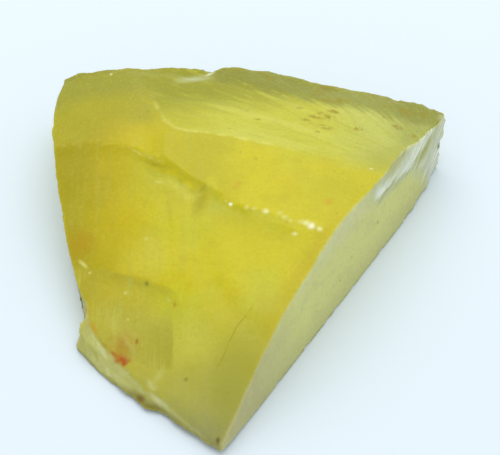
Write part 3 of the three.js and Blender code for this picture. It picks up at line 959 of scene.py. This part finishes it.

# %% [markdown]
# ## Stains, specks and sparkles
# Iron left an orange-red film in a small crack near the left foot, an amber stain on the left
# edge and a scatter of brown specks. Pale beads along the right arm of the ledge and a few pale
# dots and smears are painted glints and highlights, and a few olive spots are painted shade.

# %% Stains, specks, painted shade and glints
RED = paint(184, 82, 42)
ORANGE = paint(200, 158, 56)
RUST = paint(184, 158, 52)
BROWN = paint(166, 148, 56)
OLIVE_BROWN = paint(146, 142, 62)
# White and bead colours are painted glints.
WHITE_GLINT = paint(252, 250, 226)
PALE = paint(224, 220, 132)
BEAD_GLINT = paint(238, 236, 170)
STAINS_SHADES_AND_GLINTS = [
    # place and reach in millimetres, colour, share, squash, turn in degrees, raggedness
    ((-16.1, -15.3, 3.6), 2.8, paint(184, 142, 62), 0.7, ROUND, 0, 1.8),
    ((-16.1, -16.9, 2.9), 1.8, RED, 0.85, (1.0, 2.0, 1.0), -15, 1.2),
    ((-15.9, -17.5, 2.8), 0.7, RED, 0.8, (1.0, 1.2, 1.0), 0, 0.8),
    ((-17.3, -16.1, 2.9), 0.8, RED, 0.6, (1.0, 1.6, 1.0), -40, 0.8),
    ((-15.2, -15.3, 3.7), 2.6, paint(198, 197, 108), 0.5, (1.0, 4.0, 1.0), -55, 0.8),
    ((-20.9, -9.8, 3.8), 1.4, ORANGE, 0.8, (4.0, 1.0, 1.0), 11, 0.4),
    ((-20.0, -12.3, 3.2), 1.8, ORANGE, 0.7, (4.0, 1.0, 1.0), 29, 0.5),
    ((-18.5, -14.8, 2.9), 1.5, paint(176, 156, 70), 0.7, (4.0, 1.0, 1.0), 38, 0.4),
    ((-22.2, -0.8, 6.3), 3.4, paint(188, 156, 4), 0.7, ROUND, 0, 2.2),
    ((-14.3, -14.9, 4.0), 0.6, paint(168, 120, 40), 0.9, (1.7, 1.0, 1.0), 0, 0.3),
    ((-13.2, -8.0, 7.0), 0.55, OLIVE_BROWN, 0.9, ROUND, 0, 0.3),
    ((-7.9, -20.7, 4.1), 0.45, OLIVE_BROWN, 0.8, ROUND, 0, 0.3),
    ((-9.5, -11.3, 6.9), 0.6, RUST, 0.8, (1.5, 1.0, 1.0), 0, 0.4),
    ((-3.9, -28.1, 1.8), 0.9, paint(124, 100, 50), 0.9, (2.5, 1.0, 1.0), 0, 0.4),
    ((-1.4, 3.7, 13.1), 0.7, ORANGE, 0.6, ROUND, 0, 0.5),
    ((-2.0, 3.0, 13.1), 0.5, ORANGE, 0.5, ROUND, 0, 0.5),
    ((10.1, 0.6, 13.1), 1.1, paint(208, 166, 40), 0.7, ROUND, 0, 0.7),
    ((0.7, 8.0, 13.3), 0.5, RUST, 0.5, ROUND, 0, 0.4),
    # Painted shade towards the arris by the hackled corner.
    ((18.0, 8.6, 12.0), 5.0, paint(176, 174, 72), 0.55, ROUND, 0, 3.0),
    ((27.0, 19.5, 9.2), 1.3, paint(190, 194, 154), 0.7, ROUND, 0, 0.8),
    ((10.9, 24.8, 9.8), 2.2, RIM_BROWN, 0.8, (1, 1.6, 1), -15, 1.0),
    ((-12.5, 13.4, 13.5), 2.6, paint(205, 184, 44), 0.45, (1, 1.4, 1), -10, 1.6),
    # Two painted highlights on the lower left slope.
    ((-12.4, -20.4, 2.5), 1.7, paint(210, 210, 144), 0.6, (1.2, 2.6, 1.0), -50, 1.1),
    ((-11.4, -19.6, 3.0), 1.9, paint(206, 206, 124), 0.5, (1.0, 2.2, 1.0), 60, 1.2),
    ((-13.8, -21.6, 0.9), 1.1, paint(126, 102, 40), 0.85, (1, 1.2, 1), 0, 0.6),
    ((-12.3, -22.7, 1.0), 2.2, paint(134, 122, 54), 0.7, (1.0, 5.0, 1.0), -22, 0.4),
    ((-11.4, -22.3, 1.9), 2.4, paint(218, 218, 160), 0.8, (1.0, 6.0, 1.0), -41, 0.3),
    # A painted highlight in the notch of the back rim.
    ((-8.1, 25.0, 10.9), 3.8, paint(196, 203, 150), 0.85, (1.0, 2.3, 1.0), 28, 1.0),
    ((-5.7, 26.9, 10.6), 1.2, paint(222, 228, 196), 0.9, (1.0, 2.2, 1.0), 33, 0.4),
    # The next two are painted shade in the notch at the cusp of the ledge.
    ((-6.3, 1.5, 12.1), 3.0, paint(176, 166, 44), 0.65, (2.2, 1.0, 1.0), -22, 0.7),
    ((-6.0, 3.2, 12.8), 1.2, paint(168, 160, 44), 0.45, (1.0, 2.2, 1.0), 50, 0.4),
    ((-8.6, 3.6, 12.4), 1.6, paint(214, 208, 96), 0.7, (1.0, 3.0, 1.0), -18, 0.4),
    # Painted glints: a pale dash under the crest and sparkles on the left edge.
    ((-12.1, 5.1, 11.9), 1.0, PALE, 0.6, (1.0, 4.0, 1.0), -20, 0.2),
    ((-21.8, -3.7, 5.6), 1.5, PALE, 0.85, (1.0, 3.8, 1.0), -45, 0.3),
    ((-20.9, -5.1, 5.5), 0.35, PALE, 0.8, ROUND, 0, 0.2),
    # Painted sparkles of light along the right arm of the ledge, and one at the right end of the
    # ridge.
    ((-2.5, 0.5, 12.7), 0.42, WHITE_GLINT, 1.0, ROUND, 0, 0.1),
    ((-3.1, 1.0, 12.7), 0.3, PALE, 0.7, ROUND, 0, 0.1),
    ((-0.5, -0.3, 12.9), 0.55, PALE, 0.8, (1.0, 1.2, 1.0), 0, 0.3),
    ((0.5, -0.4, 12.9), 0.5, PALE, 0.7, (1.0, 1.3, 1.0), 0, 0.3),
    ((2.0, -0.8, 12.8), 0.7, BEAD_GLINT, 0.9, (1.0, 1.2, 1.0), 0, 0.3),
    ((3.8, -1.1, 12.8), 0.6, PALE, 0.6, ROUND, 0, 0.4),
    ((4.4, -1.8, 12.8), 0.6, PALE, 0.8, ROUND, 0, 0.4),
    ((5.1, -2.3, 12.8), 0.5, PALE, 0.7, ROUND, 0, 0.4),
    ((6.4, -2.6, 12.9), 0.6, PALE, 0.7, ROUND, 0, 0.4),
    ((7.1, -2.8, 12.9), 0.7, BEAD_GLINT, 0.9, ROUND, 0, 0.4),
    ((7.8, -3.3, 12.9), 0.8, WHITE_GLINT, 0.9, ROUND, 0, 0.4),
    ((8.8, -3.8, 12.9), 0.6, BEAD_GLINT, 0.9, ROUND, 0, 0.3),
    ((5.7, -4.2, 12.4), 0.6, BEAD_GLINT, 0.8, (1.0, 1.4, 1.0), 0, 0.3),
    ((16.0, 7.0, 12.4), 0.5, paint(236, 234, 170), 0.9, (1.0, 2.0, 1.0), 0, 0.2),
    # Small pale dots; the first is a painted glint.
    ((-13.5, -2.4, 9.3), 0.4, PALE, 0.8, ROUND, 0, 0.2),
    ((-16.0, -8.5, 5.7), 0.4, PALE, 0.8, ROUND, 0, 0.2),
    ((-15.5, -12.0, 4.7), 0.3, PALE, 0.7, ROUND, 0, 0.2),
    ((-10.3, -10.5, 6.8), 0.4, PALE, 0.5, ROUND, 0, 0.2),
    ((-19.6, 25.9, 11.4), 0.35, paint(230, 234, 190), 0.8, ROUND, 0, 0.2),
    ((17.1, 3.5, 5.5), 0.4, OLIVE_BROWN, 0.7, (1, 1, 0.8), 0, 0.5),
    ((13.4, -2.2, 5.2), 0.35, OLIVE_BROWN, 0.5, (1, 1, 0.8), 0, 0.5),
    ((11.8, -5.0, 3.8), 0.35, RUST, 0.5, (1, 1, 0.8), 0, 0.5),
    ((20.0, 7.0, 7.0), 1.4, OLIVE_BROWN, 0.35, (5.0, 5.0, 1.0), 0, 0.4),
    ((18.6, 5.3, 6.2), 1.2, OLIVE_BROWN, 0.3, (5.0, 5.0, 1.0), 0, 0.4),
    ((26.7, 18.4, 4.6), 0.6, paint(112, 100, 56), 0.9, (1, 1, 0.7), 0, 0.3),
]
BAND_PITS = [
    # place in millimetres, reach, how many times longer than wide
    ((10.7, 21.2, 10.8), 1.3, 3.0), ((12.4, 21.5, 10.7), 0.7, 1.5), ((8.9, 17.1, 11.8), 1.3, 3.5),
    ((9.8, 18.0, 11.6), 0.7, 2.0), ((11.6, 18.6, 11.3), 1.1, 2.2), ((10.9, 17.2, 11.6), 0.8, 1.5),
    ((10.3, 14.9, 12.0), 1.2, 2.6), ((9.2, 13.6, 12.5), 0.6, 2.0), ((7.6, 16.4, 12.0), 0.7, 2.0),
    ((14.4, 15.0, 11.5), 0.55, 1.5), ((15.1, 15.1, 11.4), 0.45, 1.5),
    ((20.1, 16.5, 10.6), 0.9, 3.0), ((20.4, 16.0, 10.6), 0.5, 1.5),
    ((21.8, 20.2, 9.7), 0.5, 1.5), ((22.4, 14.6, 10.6), 0.5, 1.5),
    ((18.5, 18.2, 10.5), 0.4, 1.5), ((6.9, 19.1, 11.6), 0.7, 2.5), ((4.3, 22.1, 11.1), 0.5, 1.5),
    ((1.0, 16.0, 12.5), 0.4, 1.5), ((-2.7, 13.8, 12.9), 0.4, 1.5),
]
PIT_SPREAD = 1.3
PIT_STRETCH = 0.8
PIT_RAGGED_MM = 0.9
PIT_TURN_DEGREES = -12

for place, reach, tint, share, squash, turned, ragged_by in STAINS_SHADES_AND_GLINTS:
    colour = layer(colour, tint, spot(place, reach, ragged_by, squash, turned), share)
pit_grain = between(cloud(1.6, 3.0, 66.0), 0.36, 0.52)
for place, reach, length in BAND_PITS:
    squash = (1.0, PIT_STRETCH * length, 1.0)
    pit = spot(place, PIT_SPREAD * reach, PIT_RAGGED_MM, squash, PIT_TURN_DEGREES)
    colour = layer(colour, BROWN, pit, pit_grain, 0.9)
so_far(f"{len(STAINS_SHADES_AND_GLINTS)} stains and {len(BAND_PITS)} pits")

# %% [markdown]
# A fine crack runs down the front slope, and a few brown specks lie scattered over the whole
# stone.

# %% Crack and pepper
CRACK = paint(172, 162, 56)
PEPPER_PER_MM = 0.55

crack_line = hump(wavy(crack_v, 0.12), -0.16, 0.0, 0.16)
crack_share = times(crack_line, between(crack_u, -1.5, -0.5), between(crack_u, 7.6, 6.4), is_top)
crack_share = times(crack_share, between(cloud(1.5, 2.0, 44.0), 0.4, 0.56))
colour = layer(colour, CRACK, crack_share, 0.8)
pepper = node("ShaderNodeTexVoronoi", {"Vector": in_mm, "Scale": PEPPER_PER_MM}, feature="F1")
pepper_specks = between(pepper.outputs["Distance"], 0.11, 0.05)
pepper_share = times(pepper_specks, between(cloud(0.2, 2.0, 50.0), 0.5, 0.65))
colour = layer(colour, OLIVE_BROWN, pepper_share, 0.45)
tree.links.new(colour, shader.inputs["Base Color"])
so_far("crack and pepper")

# %% [markdown]
# ## Gloss, grain and milkiness
# Fresh breaks have a soft waxy gloss, the cut is matt. One bump texture carries what is finer
# than the mesh: hair-thin striae, a ripple on the breaks and the pits of the cut.

# %% Gloss and grain
# Roughness of the fresh breaks, of the band and of the cut.
GLOSSY, BAND_SATIN, MATT = 0.3, 0.42, 0.62
BUMP_MM = 0.1
gloss = node("ShaderNodeMix", {"Factor": in_band, "A": GLOSSY, "B": BAND_SATIN}).outputs[0]
gloss = node("ShaderNodeMix", {"Factor": is_sawn, "A": gloss, "B": MATT}).outputs[0]
gloss = plus(gloss, wavering(cloud(0.6, 4.0, 12.0), 0.25))
tree.links.new(gloss, shader.inputs["Roughness"])

hair_striae = times(stretched(fan_u, fan_v, 0.25, 4.0, 4.0, 6.0), in_band)
break_ripple = times(cloud(0.8, 5.0, 1.0), 0.6)
cut_pits = times(cloud(5.0, 4.0, 7.0), is_sawn, 0.8)
fine_relief = plus(hair_striae, break_ripple, cut_pits)
bump = node("ShaderNodeBump", {"Height": fine_relief, "Distance": BUMP_MM * MM, "Strength": 1.0})
tree.links.new(bump.outputs[0], shader.inputs["Normal"])
print(len(tree.nodes), "nodes, relief finer than the mesh:", BUMP_MM, "mm")

# %% [markdown]
# Quartz bends light by 1.54. Light enters the milky stone and travels about two millimetres, red
# furthest and blue least.

# %% Milkiness
MILKY_QUARTZ = {
    "IOR": 1.54,
    "Specular IOR Level": 0.25,
    "Subsurface Weight": 0.6,
    "Subsurface Radius": (1.0, 0.85, 0.25),
    "Subsurface Scale": 2.2 * MM,
}
set_inputs(shader, MILKY_QUARTZ)
citrine.data.materials.append(stone)
print("finish", stone.name, "on", citrine.name)

# %% [markdown]
# ## Paper and light
# The stone lies on plain white paper.

# %% Paper
PAPER_MM = 3000
WHITE_PAPER = {"Base Color": (0.77, 0.86, 0.93, 1), "Roughness": 0.9, "Specular IOR Level": 0.1}

paper_mesh = bpy.data.meshes.new("paper")
sheet = bmesh.new()
bmesh.ops.create_grid(sheet, x_segments=1, y_segments=1, size=PAPER_MM * MM / 2)
sheet.to_mesh(paper_mesh)
sheet.free()
paper = add("paper", paper_mesh)
paper_finish = bpy.data.materials.new("white_paper")
paper_finish.use_nodes = True
set_inputs(paper_finish.node_tree.nodes["Principled BSDF"], WHITE_PAPER)
paper_mesh.materials.append(paper_finish)
print("paper", round(paper.dimensions.x, 2), "m wide")

# %% [markdown]
# The light is soft: an even bright room, and one broad window lamp high up behind the stone.

# %% Light
BRIGHT_ROOM = {"Color": (0.97, 0.99, 1.0, 1), "Strength": 0.77}
WINDOW_M = 0.7
WINDOW_WATTS = 1.5
WINDOW_PLACE_M = (-0.02, 0.22, 0.48)

world = bpy.data.worlds.new("room")
world.use_nodes = True
set_inputs(world.node_tree.nodes["Background"], BRIGHT_ROOM)
bpy.context.scene.world = world

lamp_data = bpy.data.lights.new("soft_window", "AREA")
lamp_data.shape = "DISK"
lamp_data.size = WINDOW_M
lamp_data.energy = WINDOW_WATTS
lamp = add("soft_window", lamp_data)
lamp.location = WINDOW_PLACE_M
lamp.rotation_euler = (-lamp.location).to_track_quat("-Z", "Y").to_euler()
bpy.context.scene.view_settings.view_transform = "Standard"
print("window lamp of", lamp_data.energy, "W at", [round(c, 2) for c in lamp.location])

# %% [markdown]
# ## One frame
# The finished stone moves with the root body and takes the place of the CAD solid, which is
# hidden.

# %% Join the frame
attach(citrine, "root")
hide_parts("citrine")
